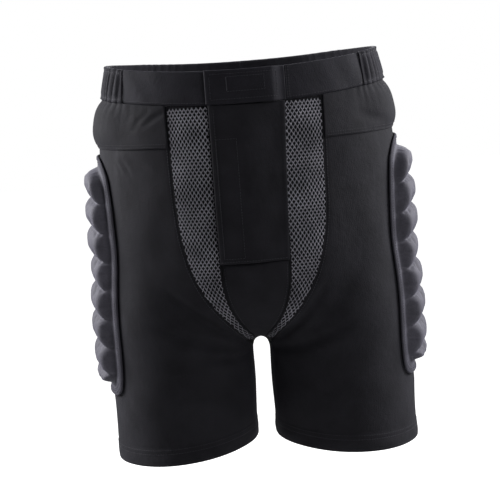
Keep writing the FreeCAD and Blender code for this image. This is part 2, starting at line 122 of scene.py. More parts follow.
def curve(table, z, k):
    """A smooth curve through column k of a table of heights, by Hermite spans."""
    heights, values = table[::-1, 0], table[::-1, k]
    slopes = np.empty_like(values)
    slopes[1:-1] = (values[2:] - values[:-2]) / (heights[2:] - heights[:-2])
    slopes[0] = (values[1] - values[0]) / (heights[1] - heights[0])
    slopes[-1] = (values[-1] - values[-2]) / (heights[-1] - heights[-2])
    z = np.clip(z, heights[0], heights[-1])
    i = np.clip(np.searchsorted(heights, z) - 1, 0, len(heights) - 2)
    span = heights[i + 1] - heights[i]
    return hermite(values, slopes, i, (z - heights[i]) / span, span)


def sizes(z):
    return [curve(table, z, k) for table in (TORSO, LEG) for k in (1, 2, 3)]


def form(x, y, z, at=None):
    """Negative inside the left half of the body form, zero on it, about millimetres outside it."""
    half, half_front, half_back, across, leg_front, leg_back = at or sizes(z)
    cap = np.maximum(0, (CAP_TOP - z) / CAP_HEIGHT)
    ring = np.hypot(x / half, y / np.where(y < 0, half_front, half_back))
    torso = ((ring**CAP_POWER + cap**CAP_POWER) ** (1 / CAP_POWER) - 1) * TORSO_SCALE
    leg = (np.hypot((x - LEG_X) / across, y / np.where(y < 0, leg_front, leg_back)) - 1) * LEG_SCALE
    blend = BLEND_INSIDE + (BLEND_OUTSIDE - BLEND_INSIDE) * smoothstep(BLEND_FROM, BLEND_TO, x)
    overlap = np.maximum(0, blend - np.abs(torso - leg))
    return np.minimum(torso, leg) - overlap * overlap / (4 * blend)


def root(function, low, high, shape):
    """Where a rising function of each element passes zero, by halving."""
    low, high = np.full(shape, float(low)), np.full(shape, float(high))
    for _ in range(HALVINGS):
        middle = (low + high) / 2
        inside = function(middle) < 0
        low, high = np.where(inside, middle, low), np.where(inside, high, middle)
    return (low + high) / 2


def ray(angle, z):
    """Points of the left half at an angle round the leg's axis: 0 at the outer side, -90 degrees in front."""
    angle, z = np.broadcast_arrays(np.asarray(angle, float), np.asarray(z, float))
    at, c, s = sizes(z), np.cos(angle), np.sin(angle)
    r = root(lambda d: form(LEG_X + d * c, d * s, z, at), 5, 190, angle.shape)
    return np.stack([LEG_X + r * c, r * s, z], -1)


def face_point(x, z, face):
    """Points on the front (face -1) or back (face 1) at any x, on the form's own half or the mirrored one."""
    x, z = np.broadcast_arrays(np.asarray(x, float), np.asarray(z, float))
    at = sizes(z)
    d = root(lambda d: form(np.abs(x), face * d, z, at), 0, 190, x.shape)
    return np.stack([x, face * d, z], -1)


def outward(p):
    """The form's outward directions. Points of the right half have negative x."""
    e = 1.0
    x, y, z = np.abs(p[..., 0]), p[..., 1], p[..., 2]
    at = sizes(z)
    g = np.stack([
        form(x + e, y, z, at) - form(x - e, y, z, at),
        form(x, y + e, z, at) - form(x, y - e, z, at),
        form(x, y, z + e) - form(x, y, z - e),
    ], -1)
    g[..., 0] *= np.tanh(p[..., 0] / 1.5)
    return g / np.linalg.norm(g, axis=-1, keepdims=True)


def angle_at(x, z, face):
    p = face_point(x, z, face)
    return np.arctan2(p[..., 1], p[..., 0] - LEG_X)


def waist_top(y):
    return WAIST_SIDE + WAIST_TILT * y - WAIST_DIP * (y / WAIST_DEPTH) ** 2


def under_band(angle):
    return waist_top(ray(angle, -BAND_HEIGHT)[..., 1]) - BAND_HEIGHT - GAP


def hem(angle):
    return HEM_HEIGHT - HEM_TILT * np.cos(angle)


def sweep_in(z, top, bottom, power, root_power):
    t = np.clip((top - z) / (top - bottom), 0, 1)
    return 1 - (1 - t**power) ** (1 / root_power)


def mesh_outer(z):
    """Angle of the seam between the mesh strip and the front panel."""
    return np.radians(-96 - 84 * sweep_in(z, -35, CROTCH_SIDE, 5, 1.3))


def fly_seam(z):
    """Angle of the seam between the mesh strip and the fly, then the crotch panel."""
    narrowing = sweep_in(z, FLAP_BOTTOM, GUSSET_TURN, 2.5, 1.0)
    x = GUSSET_HALF_WIDTH + (FLY_HALF_WIDTH - GUSSET_HALF_WIDTH) * (1 - narrowing)
    angle = angle_at(x, np.maximum(z, GUSSET_TURN), -1)
    return angle - (math.pi + angle) * np.maximum(0, (GUSSET_TURN - z) / (GUSSET_TURN - CROTCH_SIDE))


def gusset_back(z):
    """Angle of the seam between the back panel and the crotch panel, or the centre back seam above it."""
    closing = CAP_TOP - CAP_HEIGHT
    centre = np.where(z > closing + 0.5, angle_at(0.0, np.maximum(z, closing + 1), 1), math.pi)
    widening = 53.5 * sweep_in(z, -200, CROTCH_SIDE, 6, 1.4)
    gusset = np.radians(126.5 + widening + 20 * smoothstep(-225, -170, z))
    soft = 0.03
    overlap = np.maximum(0, soft - np.abs(centre - gusset))
    return np.minimum(centre, gusset) - overlap * overlap / (4 * soft)


# ---- Folds ----
def smooth_path(points, count):
    """Evenly shared points on a Catmull-Rom curve through a few points."""
    points = np.array(points, float)
    padded = np.vstack([2 * points[0] - points[1], points, 2 * points[-1] - points[-2]])
    t = np.linspace(0, len(points) - 1 - 1e-9, count)
    i = t.astype(int)
    f = (t - i)[:, None]
    a, b, c, d = (padded[i + k] for k in range(4))
    return 0.5 * (2 * b + (c - a) * f + (2 * a - 5 * b + 4 * c - d) * f**2 + (3 * b - a - 3 * c + d) * f**3)


def crease(points, depth, width, face=-1):
    """A fold line on the front or back through (x, z) points: a valley with a low ridge along each side."""
    xz = smooth_path(points, 36)
    line = face_point(xz[:, 0], xz[:, 1], face)
    line[:, 0] = xz[:, 0]
    share = np.linspace(0, 1, len(line))
    return line, depth * np.sin(math.pi * np.clip(share, 0.02, 0.98)) ** 0.8, width


# Each fold's line in x and z, its depth and its half width
FRONT_FOLDS = [
    crease([(-92, -226), (-62, -254), (-34, -277), (-14, -292)], 4.4, 5.5),
    crease([(-112, -262), (-74, -278), (-42, -290), (-18, -300)], 3.2, 6),
    crease([(-60, -302), (-38, -305), (-16, -310)], 2.4, 5),
    crease([(70, -228), (52, -254), (32, -276), (13, -292)], 4.2, 5.5),
    crease([(104, -268), (70, -284), (40, -296), (16, -303)], 3.0, 6),
    crease([(-74, -42), (-90, -50), (-106, -60)], 1.3, 3.5),
    crease([(-94, -43), (-104, -51), (-113, -63)], 1.0, 3.5),
    crease([(-138, -90), (-132, -96), (-128, -104)], 1.2, 2.5),
    crease([(-131, -88), (-124, -96), (-118, -108)], 1.1, 3),
    crease([(-122, -87), (-112, -94), (-98, -102)], 0.9, 4),
    crease([(146, -76), (128, -66), (110, -60)], 1.5, 6),
    crease([(-60, -118), (-84, -150), (-96, -190)], 0.9, 14),
    crease([(92, -120), (100, -170), (98, -215)], 0.9, 16),
    crease([(-118, -352), (-84, -360), (-44, -352)], 0.9, 12),
    crease([(48, -340), (92, -352), (126, -346)], 0.9, 12),
]
BACK_FOLDS = [
    crease([(-96, -286), (-62, -296), (-30, -298), (-14, -292)], 2.6, 8, face=1),
    crease([(90, -284), (60, -297), (30, -300), (14, -294)], 2.6, 8, face=1),
    crease([(-30, -200), (-14, -232), (-6, -262)], 1.6, 8, face=1),
    crease([(32, -196), (14, -230), (6, -262)], 1.6, 8, face=1),
    crease([(-120, -330), (-80, -342), (-40, -336)], 1.0, 12, face=1),
    crease([(44, -334), (84, -346), (122, -338)], 1.0, 12, face=1),
]
WAVES = [(rng.normal(size=3) / (110 + 30 * k), rng.uniform(0, 6.28), 0.34) for k in range(6)]


def gathers(p, depth, bottom=-BAND_HEIGHT, reach=14):
    """Ridges that the waist elastic makes round the sides and back, fading below a height."""
    x, y, z = p[..., 0], p[..., 1], p[..., 2]
    level = z - waist_top(y)
    turn = np.arctan2(y / WAIST_DEPTH, x / WAIST_WIDTH)
    warp = 0.9 * np.sin(5 * turn + 1.1) + 0.6 * np.sin(11 * turn + 0.4) + 0.4 * np.sin(23 * turn + 2)
    lean = 0.03 * (level + 17) * np.sin(3 * turn + 0.6)
    ridge = np.abs(np.sin(38 * turn + warp + lean)) ** 0.75
    ridge *= 0.7 + 0.3 * np.sin(9 * turn + 0.5)
    frontal = np.abs(y / WAIST_DEPTH) / np.hypot(x / WAIST_WIDTH, y / WAIST_DEPTH)
    sides = 1 - smoothstep(0.62, 0.84, np.where(y < 0, frontal, 0))
    below = np.exp(-np.maximum(0, bottom - level) / reach)
    return depth * ridge * sides * below


def settled(p):
    """0 where a pad holds the cloth flat, 1 away from the pads."""
    x, y, z = np.abs(p[..., 0]), p[..., 1], p[..., 2]
    turn = np.arctan2(y, x - LEG_X)

    def beyond(across, area):
        return np.maximum(across - area[2], np.maximum(z - area[0], area[1] - z))

    side = beyond(np.abs(turn) * SIDE_RADIUS, SIDE_AREA)
    seat = beyond(np.abs(turn - math.pi / 2) * SEAT_RADIUS, SEAT_AREA)
    tailbone = np.where(y > 0, beyond(x, TAILBONE_AREA), 99)
    return smoothstep(0, 14, np.minimum(side, np.minimum(seat, tailbone)))


def folds(p):
    """How far the cloth stands out from its plain shape."""
    out = np.zeros(p.shape[:-1])
    for direction, phase, size in WAVES:
        out += size * np.sin(p @ direction * 6.28 + phase)
    out *= smoothstep(2, -60, p[..., 2])
    flat = p.reshape(-1, 3)
    total = out.reshape(-1)
    for line, depths, width in FRONT_FOLDS + BACK_FOLDS:
        reach = 5.5 * width
        near = np.all((flat > line.min(0) - reach) & (flat < line.max(0) + reach), axis=1)
        if not near.any():
            continue
        q = ((flat[near][:, None, :] - line[None]) ** 2).sum(-1)
        valley = (depths * np.exp(-q / width**2)).max(1)
        ridge = (depths * np.exp(-q / (2.3 * width) ** 2)).max(1)
        total[near] += 0.62 * ridge - 1.15 * valley
    return total.reshape(out.shape) * settled(p)


# ---- Meshes ----
def new_mesh(name, points, quads, material, body, slot, node=None):
    """A piece from points in millimetres. One that stands for a CAD node is named after it."""
    if node:
        name = f"{node}_detailed"
    mesh = bpy.data.meshes.new(name)
    points = np.asarray(points, float).reshape(-1, 3) * MM
    quads = np.asarray(quads, np.int32)
    mesh.vertices.add(len(points))
    mesh.vertices.foreach_set("co", points.astype(np.float32).ravel())
    mesh.loops.add(quads.size)
    mesh.loops.foreach_set("vertex_index", quads.ravel())
    mesh.polygons.add(len(quads))
    mesh.polygons.foreach_set("loop_start", np.arange(0, quads.size, 4, dtype=np.int32))
    mesh.polygons.foreach_set("use_smooth", np.full(len(quads), True))
    mesh.update(calc_edges=True)
    mesh.validate()
    mesh.materials.append(material)
    piece = bpy.data.objects.new(name, mesh)
    bpy.context.scene.collection.objects.link(piece)
    if body:
        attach(piece, body)
    if node:
        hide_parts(node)
    return piece


def grid_quads(rows, columns, start=0, around=False):
    """Quads of a grid of points. around joins the last row to the first."""
    r, c = np.meshgrid(np.arange(rows if around else rows - 1), np.arange(columns - 1), indexing="ij")
    here, after = start + r * columns + c, start + (r + 1) % rows * columns + c
    return np.stack([here, here + 1, after + 1, after], -1).reshape(-1, 4)


def skin(outer, inner, around=False):
    """Points and quads of the closed solid between two grids, with its faces turned outwards."""
    rows, columns = outer.shape[:2]
    count = rows * columns
    a, b = grid_quads(rows, columns, 0, around), grid_quads(rows, columns, count, around)[:, ::-1]
    walls = []
    for column in (0, columns - 1):
        line = np.arange(rows) * columns + column
        pairs = np.stack([line, np.roll(line, -1)], 1)
        pairs = pairs if around else pairs[:-1]
        wall = np.stack([pairs[:, 0], pairs[:, 1], pairs[:, 1] + count, pairs[:, 0] + count], 1)
        walls.append(wall if column == 0 else wall[:, ::-1])
    if not around:
        for row in (0, rows - 1):
            line = row * columns + np.arange(columns)
            wall = np.stack([line[1:], line[:-1], line[:-1] + count, line[1:] + count], 1)
            walls.append(wall if row == 0 else wall[:, ::-1])
    points = np.concatenate([outer.reshape(-1, 3), inner.reshape(-1, 3)])
    quads = np.concatenate([a, b, *walls])
    p, q = outer.reshape(-1, 3), inner.reshape(-1, 3)
    normal = np.cross(p[a[:, 1]] - p[a[:, 0]], p[a[:, 3]] - p[a[:, 0]])
    out = p[a[:, 0]] - q[a[:, 0]]
    if (normal * out).sum() < 0:
        quads = quads[:, ::-1]
    return points, quads


NEAR_EDGE = np.array([0, 0.3, 0.8, 1.4, 2.2, 3.2])


def shares(length, step):
    """Shares along a length, evenly spaced but closer together by its two ends."""
    count = max(2, int(round((length - 2 * NEAR_EDGE[-1]) / step)))
    middle = np.linspace(NEAR_EDGE[-1], length - NEAR_EDGE[-1], count + 1)
    return np.concatenate([NEAR_EDGE[:-1], middle, length - NEAR_EDGE[:-1][::-1]]) / length


def along(p, axis):
    """Distance along each row (axis 1) or column (axis 0) of a grid, from its start and from its end."""
    steps = np.linalg.norm(np.diff(p, axis=axis), axis=-1)
    pad = [(0, 0), (0, 0)]
    pad[axis] = (1, 0)
    start = np.pad(np.cumsum(steps, axis=axis), pad)
    whole = start.take([-1], axis=axis)
    return start, whole - start


class Patch:
    """A grid on the body form: its points, outward directions, folds, and distances from its four edges."""

    def __init__(self, p, side=1):
        self.p = p * np.array([side, 1, 1])
        self.n = outward(self.p)
        self.folds = folds(self.p)
        self.from_left, self.from_right = along(self.p, 1)
        self.from_top, self.from_bottom = along(self.p, 0)
        self.far = {"l": self.from_left, "r": self.from_right, "t": self.from_top, "b": self.from_bottom}

    def edge(self, sides="lrtb"):
        """Distance from the nearest of some edges."""
        return np.minimum.reduce([self.far[s] for s in sides])

    def at(self, offset):
        return self.p + self.n * (self.folds + offset)[..., None]

    def rolled(self, inner, outer, sides="lrtb", roll=1.1):
        """Outer and inner grids whose edges are rounded over."""
        t = np.clip(self.edge(sides) / roll, 0, 1)
        full = np.sqrt(np.maximum(0.04, 1 - (1 - t) ** 2))
        middle, half = (inner + outer) / 2, (outer - inner) / 2
        return self.at(middle + half * full), self.at(middle - half * full)

    def parallel(self, edge, distance, offset, trim=0.0):
        """A line at a distance from one edge, with the outward direction along it, cut back at both ends."""
        turn = {
            "t": lambda a: a,
            "b": lambda a: a[::-1],
            "l": lambda a: a.swapaxes(0, 1),
            "r": lambda a: a[:, ::-1].swapaxes(0, 1),
        }[edge]
        far = turn(self.far[edge])
        grid = turn(self.at(np.broadcast_to(offset, self.folds.shape)))
        n = turn(self.n)

        def pick(values):
            columns = range(values.shape[1])
            rows = [[np.interp(distance, far[:, c], values[:, c, k]) for k in range(3)] for c in columns]
            return np.array(rows)

        path, normal = pick(grid), pick(n)
        way = np.concatenate([[0], np.cumsum(np.linalg.norm(np.diff(path, axis=0), axis=1))])
        kept = (way >= trim) & (way <= way[-1] - trim)
        return path[kept], normal[kept]


def piece_of(name, patch, inner, outer, material, slot, body="shorts", sides="lrtb", roll=1.1):
    """The sheet between two distances from the body form, standing for the CAD node of its name."""
    inner, outer = np.broadcast_to(inner, patch.folds.shape), np.broadcast_to(outer, patch.folds.shape)
    points, quads = skin(*patch.rolled(inner, outer, sides, roll))
    return new_mesh(name, points, quads, material, body, slot, name)


def sewn(d, depth=0.7, width=2.4):
    """The dip of a seam at a distance from it."""
    return -depth * np.exp(-((d / width) ** 2))


# Length, pitch and thread radius of each kind of stitch
SEAM_STITCH, EDGE_STITCH, FLAP_STITCH = (1.9, 2.8, 0.2), (2.0, 2.8, 0.2), (2.0, 2.8, 0.22)
TAB_STITCH, HEM_STITCH, BAND_STITCH = (2.0, 2.8, 0.24), (2.0, 2.9, 0.22), (2.0, 2.7, 0.26)
CASING_STITCH, TICK, BAR_TACK = (1.9, 2.7, 0.24), (1.2, 1.0, 0.5), (0.9, 0.8, 0.6)


class Threads:
    """Stitches, each a small closed bead of thread, gathered into one piece."""

    # share of the half length, thickness, height over the cloth
    BEAD = ((-1, 0.4, -0.9), (-0.62, 0.95, 0), (0, 1.05, 0.25), (0.62, 0.95, 0), (1, 0.4, -0.9))

    def __init__(self):
        self.points, self.quads, self.count = [], [], 0

    def line(self, path, normal, length, pitch, radius, lift=0.12):
        """Stitches along a path. normal holds the outward direction at each of its points."""
        steps = np.linalg.norm(np.diff(path, axis=0), axis=1)
        far = np.concatenate([[0], np.cumsum(steps)])
        if far[-1] < pitch:
            return
        middle = np.arange(pitch / 2, far[-1] - pitch / 2 + 1e-6, pitch)

        def at(values, where):
            return np.stack([np.interp(where, far, values[:, k]) for k in range(3)], 1)

        centre, up = at(path, middle), at(normal, middle)
        ahead = at(path, middle + length / 2) - at(path, middle - length / 2)
        ahead /= np.linalg.norm(ahead, axis=1, keepdims=True) + 1e-9
        up -= ahead * (up * ahead).sum(1, keepdims=True)
        up /= np.linalg.norm(up, axis=1, keepdims=True) + 1e-9
        aside = np.cross(up, ahead)
        rings = []
        for share, size, high in self.BEAD:
            spine = centre + ahead * share * length / 2 + up * (lift + high * radius)
            for k in range(4):
                turn = math.pi / 4 + k * math.pi / 2
                rings.append(spine + (aside * math.cos(turn) + up * math.sin(turn)) * radius * size * 1.3)
        block = np.stack(rings, 1)
        corners = [(4 * r + k, 4 * r + (k + 1) % 4) for r in range(4) for k in range(4)]
        one = [[a, b, b + 4, a + 4] for a, b in corners] + [[3, 2, 1, 0], [16, 17, 18, 19]]
        quads = np.array(one)[None] + (np.arange(len(middle)) * 20)[:, None, None] + self.count
        self.points.append(block.reshape(-1, 3))
        self.quads.append(quads.reshape(-1, 4))
        self.count += len(middle) * 20

    def build(self, name, material, body, slot):
        return new_mesh(name, np.concatenate(self.points), np.concatenate(self.quads), material, body, slot)


# ---- Patches of the garment ----
def panel_patch(left, right, top, bottom, width, height, step=1.9, side=1):
    """Part of one half between two angles, each a function of height, and two heights, each of angle."""
    u, v = shares(width, step)[None, :], shares(height, step)[:, None]
    high = top(left(top(0.0)) * (1 - u) + right(top(0.0)) * u)
    low = bottom(left(bottom(0.0)) * (1 - u) + right(bottom(0.0)) * u)
    z = high + (low - high) * v
    return Patch(ray(left(z) * (1 - u) + right(z) * u, z), side)


def front_patch(x0, x1, top, bottom, step=1.3, face=-1, lean=0.0):
    """Part of the front or back between two distances from the centre, each end height a function of x."""
    height = float(top(x0) - bottom(x0))
    u, v = shares(x1 - x0, step)[None, :], shares(height, step)[:, None]
    x = x0 + (x1 - x0) * u
    drop = (top(x) - bottom(x)) * v
    return Patch(face_point(x - lean * drop * u, top(x) - drop, face))


def crotch_patch():
    """The crotch panel: across it at each share of the centre line from the fly's foot to the seat."""
    t, w = shares(178, 1.9), shares(64, 1.9) * 2 - 1
    end_heights = np.array([FLAP_BOTTOM - GAP, GUSSET_BACK])
    depths = np.array([face_point(0.0, end_heights[k], face)[1] for k, face in enumerate((-1, 1))])
    turns = np.arctan2(end_heights - HIP_CENTRE, depths)
    turn = turns[0] + (turns[1] - turns[0]) * t
    c, s = np.cos(turn), np.sin(turn)
    reach = root(lambda r: form(0.0, r * c, HIP_CENTRE + r * s), 20, 190, t.shape)
    middle = np.stack([0 * c, reach * c, HIP_CENTRE + reach * s], -1)
    end = np.where(t < 0.5, FLAP_BOTTOM - GAP, GUSSET_BACK)
    z = end + (CROTCH_SIDE - end) * np.sin(math.pi * np.minimum(t, 1 - t))
    edge = ray(np.where(t < 0.5, fly_seam(z), gusset_back(z)), z)
    p = middle[:, None] + (edge - middle)[:, None] * np.abs(w)[None, :, None]
    for _ in range(6):
        p = p - outward(p) * (form(p[..., 0], p[..., 1], p[..., 2]) * 0.9)[..., None]
    p[..., 0] *= np.sign(w)
    return Patch(p)


def under_band_at(x):
    return under_band(angle_at(np.abs(x), -BAND_HEIGHT, -1))


def band_head(x):
    return under_band_at(x) + BAND_HEIGHT + GAP


def level_line(height):
    return lambda x: height + 0 * x


# ---- Materials ----
def cloth(name, colour, rough=0.85, specular=0.1, sheen=0.05, tint=(0.72, 0.7, 1.0), grain=1.0, bump=0.35,
          vary=0.2, rib=None):
    """Procedural cloth: uneven dye, a knit of grain millimetres and a soft sheen. rib is a weave's pitch."""
    material = bpy.data.materials.new(name)
    material.use_nodes = True
    tree = material.node_tree
    make, link = tree.nodes.new, tree.links.new
    shader = tree.nodes["Principled BSDF"]
    place = make("ShaderNodeTexCoord").outputs["Object"]

    def texture(kind, scale, **values):
        node = make(kind)
        node.inputs["Scale"].default_value = scale
        for key, value in values.items():
            node.inputs[key].default_value = value
        link(place, node.inputs["Vector"])
        return node

    def spread(source, low, high):
        node = make("ShaderNodeMapRange")
        node.inputs["From Min"].default_value, node.inputs["From Max"].default_value = 0.3, 0.7
        node.inputs["To Min"].default_value, node.inputs["To Max"].default_value = low, high
        link(source, node.inputs["Value"])
        return node.outputs["Result"]

    def times(a, b):
        node = make("ShaderNodeMath")
        node.operation = "MULTIPLY"
        link(a, node.inputs[0])
        link(b, node.inputs[1])
        return node.outputs["Value"]

    patches = texture("ShaderNodeTexNoise", 42, Detail=4).outputs["Fac"]
    fuzz = texture("ShaderNodeTexNoise", 700 / grain, Detail=3).outputs["Fac"]
    loops = texture("ShaderNodeTexVoronoi", 1000 / grain, Randomness=0.55)
    dye = times(spread(patches, 1 - vary, 1 + vary), spread(fuzz, 1 - 0.9 * vary, 1 + 0.9 * vary))
    paint = make("ShaderNodeVectorMath")
    paint.operation = "SCALE"
    paint.inputs[0].default_value = colour
    link(dye, paint.inputs["Scale"])
    link(paint.outputs["Vector"], shader.inputs["Base Color"])
    link(spread(fuzz, rough - 0.08, min(1.0, rough + 0.08)), shader.inputs["Roughness"])
    height = loops.outputs["Distance"]
    if rib:
        wave = texture("ShaderNodeTexWave", 314 / rib, Distortion=0.4)
        wave.bands_direction = "Z"
        height = times(height, wave.outputs["Fac"])
    knit = make("ShaderNodeBump")
    knit.inputs["Strength"].default_value = bump
    knit.inputs["Distance"].default_value = 0.0006 * grain
    link(height, knit.inputs["Height"])
    pilling = make("ShaderNodeBump")
    pilling.inputs["Strength"].default_value = bump * 0.6
    pilling.inputs["Distance"].default_value = 0.002
    link(texture("ShaderNodeTexNoise", 160, Detail=5).outputs["Fac"], pilling.inputs["Height"])
    link(knit.outputs["Normal"], pilling.inputs["Normal"])
    link(pilling.outputs["Normal"], shader.inputs["Normal"])
    shader.inputs["Specular IOR Level"].default_value = specular
    shader.inputs["Sheen Weight"].default_value = sheen
    shader.inputs["Sheen Roughness"].default_value = 0.45
    shader.inputs["Sheen Tint"].default_value = (*tint, 1)
    return material


SHELL = cloth("shell_jersey", (0.0088, 0.0086, 0.0106), specular=0.08, sheen=0.015)
BAND = cloth("waistband_jersey", (0.0098, 0.0095, 0.0122), specular=0.08, sheen=0.02, grain=1.1)
COVER_CLOTH = cloth("pad_cover_jersey", (0.040, 0.0385, 0.049), rough=0.75, specular=0.2, sheen=0.06,
                    bump=0.2)
BINDING = cloth("binding_jersey", (0.028, 0.027, 0.034), sheen=0.03, grain=0.8)
NET = cloth("net_thread", (0.15, 0.147, 0.167), rough=0.7, sheen=0.06, grain=0.5, vary=0.3)
# Near-black painted shade: the sheet under the net, seen through its holes, and the bar tack at the fly's
# foot.
PAINTED_SHADE = cloth("net_shadow_layer", (0.004, 0.004, 0.005), sheen=0.01)
THREAD = cloth("sewing_thread", (0.016, 0.0155, 0.019), rough=0.7, specular=0.2, grain=0.4)
FOAM = cloth("closed_cell_foam", (0.06, 0.06, 0.065), rough=0.9, sheen=0, grain=1.6, bump=0.6)
ELASTIC = cloth("woven_elastic", (0.028, 0.028, 0.03), rough=0.75, sheen=0.03, rib=1.5)
HOOK = cloth("hook_tape", (0.010, 0.010, 0.011), rough=0.5, specular=0.4, sheen=0, grain=1.5, bump=0.9)
LOOP = cloth("loop_tape", (0.014, 0.014, 0.016), rough=0.95, sheen=0.1, grain=1.2, bump=0.8)
LABEL = cloth("satin_label", (0.52, 0.52, 0.5), rough=0.45, specular=0.4, sheen=0.1, grain=0.4, vary=0.05,
              rib=0.6, tint=(1, 1, 1))


# ---- Leg panels ----
def side_seam(z):
    return 0 * z


def body_top(angle):
    return under_band(angle) + GAP


for name, side in SIDES.items():
    seams = Threads()
    layouts = {"front": (mesh_outer, side_seam, 240), "back": (side_seam, gusset_back, 250)}
    for which, (start, end, width) in layouts.items():
        patch = panel_patch(start, end, body_top, hem, 160, 375, side=side)
        height = patch.from_bottom
        fold = 0.55 * (1 - smoothstep(19.2, 20.6, height)) - 0.35 * np.exp(-(((height - 20) / 1.2) ** 2))
        rows = -0.3 * (np.exp(-(((height - 13.5) / 1.3) ** 2)) + np.exp(-(((height - 18) / 1.3) ** 2)))
        swell = 0.45 * np.exp(-(((height - 7) / 6) ** 2)) * (1 + np.sin(patch.from_left / 9 + 2 * side))
        outer = PANEL_OUT + sewn(patch.edge("lr")) + fold + rows + swell
        panel = piece_of(f"{which}_panel_{name}", patch, PANEL_IN, outer, SHELL, "shell", roll=0.9)
        for distance in (13.5, 18):
            seams.line(*patch.parallel("b", distance, outer), *HEM_STITCH, lift=0.02)
        if which == "front":
            path, normal = patch.parallel("l", 2.6, outer, trim=1)
            seams.line(path[::-1], normal[::-1], *SEAM_STITCH)
    seams.build(f"leg_stitching_{name}", THREAD, "shorts", "shell")
    facing = panel_patch(
        lambda z: 0 * z - math.pi + 0.01, lambda z: 0 * z + math.pi - 0.01,
        lambda a: hem(a) + HEM_FOLD, lambda a: hem(a) + 0.6, 470, 19, side=side,
    )
    piece_of(f"hem_facing_{name}", facing, -0.7, 0.1, SHELL, "shell", roll=0.4)

crotch = crotch_patch()
crotch_outer = PANEL_OUT + sewn(crotch.edge())
piece_of("crotch_panel", crotch, PANEL_IN, crotch_outer, SHELL, "shell", roll=0.9)
seams = Threads()
for edge in "lr":
    seams.line(*crotch.parallel(edge, 2.4, crotch_outer, trim=3), *SEAM_STITCH)
seams.build("crotch_stitching", THREAD, "shorts", "shell")


# ---- Mesh strips ----
CELL_WIDE, CELL_HIGH = 4.1, 6.4


def net(name, side):
    """Crossing threads that follow the strip, lifted over each other and thinner toward the crotch."""
    top, bottom = -41.0, -288.0
    z = np.arange(bottom, top, 0.5)
    left, right = fly_seam(z) + 0.012, mesh_outer(z) - 0.010
    a, b = ray(left, z), ray(right, z)
    width = np.maximum(1.0, np.linalg.norm(b - a, axis=1))
    threads_p, threads_q, count = [], [], 0
    section = [(math.cos(t), math.sin(t)) for t in np.arange(6) * math.pi / 3]
    for family in (1, -1):
        first = -60.0 if family > 0 else -20.0
        for k in np.arange(first, 60.0):
            steps = np.arange(0, (top - bottom) / CELL_HIGH, 0.17)
            high = bottom + steps * CELL_HIGH
            s = (k + family * steps) * CELL_WIDE
            share = s / np.interp(high, z, width)
            inside = (share > 0.0) & (share < 1.0) & (high < top)
            if inside.sum() < 4:
                continue
            high, share, steps = high[inside], share[inside], steps[inside]
            angle = np.interp(high, z, left) * (1 - share) + np.interp(high, z, right) * share
            line = Patch(ray(angle, high)[:, None], side)
            over = 0.16 * np.cos((2 * steps + k) * math.pi) * family
            spine = line.at((1.45 + over)[:, None])[:, 0]
            normal = line.n[:, 0]
            ahead = np.gradient(spine, axis=0)
            ahead /= np.linalg.norm(ahead, axis=1, keepdims=True)
            aside = np.cross(normal, ahead)
            thin = 1 - 0.5 * smoothstep(-245, bottom, high)
            knot = (0.24 + 0.40 * np.cos((2 * steps + k) * 2 * math.pi) ** 2) * thin
            ring = [
                spine + aside * (c * knot)[:, None] + normal * (0.36 * d * thin)[:, None] for c, d in section
            ]
            threads_p.append(np.stack(ring, 1).reshape(-1, 3))
            rows = len(spine)
            r, c = np.meshgrid(np.arange(rows - 1) * 6, np.arange(6), indexing="ij")
            after = r + (c + 1) % 6
            q = np.stack([r + c, after, after + 6, r + c + 6], -1).reshape(-1, 4)
            caps = np.array([[3, 2, 1, 0], [5, 4, 3, 0]])
            ends = np.concatenate([caps, caps[:, ::-1] + (rows - 1) * 6])
            threads_q.append(np.concatenate([q, ends]) + count)
            count += rows * 6
    return new_mesh(name, np.concatenate(threads_p), np.concatenate(threads_q), NET, "shorts", "mesh")


for name, side in SIDES.items():
    patch = panel_patch(
        lambda z: fly_seam(z) - 0.001, lambda z: mesh_outer(z) + 0.001, body_top, level_line(MESH_BOTTOM),
        40, 268, side=side,
    )
    # Under the net lies a near-black sheet in the CAD mesh panel's place: painted shade, seen through the
    # holes.
    border = 0.75 * (1 - smoothstep(1.6, 2.6, patch.edge("lr")))
    shade_sheet = piece_of(f"mesh_panel_{name}", patch, PANEL_IN, 0.95 + border, PAINTED_SHADE, "mesh", roll=0.3)
    net(f"mesh_net_{name}", side)


# ---- Fly ----
def on_front(points, offset):
    """A path on the front through (x, z) corners, at a distance that is a function of x."""
    points = np.array(points, float)
    spans = np.linalg.norm(np.diff(points, axis=0), axis=1)
    far = np.concatenate([[0], np.cumsum(spans)])
    way = np.arange(0, far[-1], 0.9)
    x, z = (np.interp(way, far, points[:, k]) for k in (0, 1))
    p = face_point(x, z, -1)
    n = outward(p)
    return p + n * (offset(x) + folds(p))[:, None], n


def box_path(x0, x1, top, bottom):
    return [(x0, top), (x1, top), (x1, bottom), (x0, bottom), (x0, top)]


def tab_inner(x):
    low, high = BAND_FLAT_OUT - TAB_THICK, BAND_FLAT_OUT + 2 * TAPE + 3 * GAP
    return low + (high - low) * smoothstep(SEAM_TOP[0] - 1.5, SEAM_TOP[0] - 14, x)


def flap_inner(x):
    return OVERLAY + (2 * TAPE + 2 * GAP) * smoothstep(32, -3, x)


def seam_x(z):
    return SEAM_TOP[0] + (z - SEAM_TOP[1]) * LEAN


edge = FLY_HALF_WIDTH - GAP / 2
underlap = front_patch(-edge, edge, lambda x: under_band_at(x) - GAP, level_line(FLAP_BOTTOM + GAP / 2))
piece_of("fly_underlap", underlap, PANEL_IN, PANEL_OUT, SHELL, "shell")

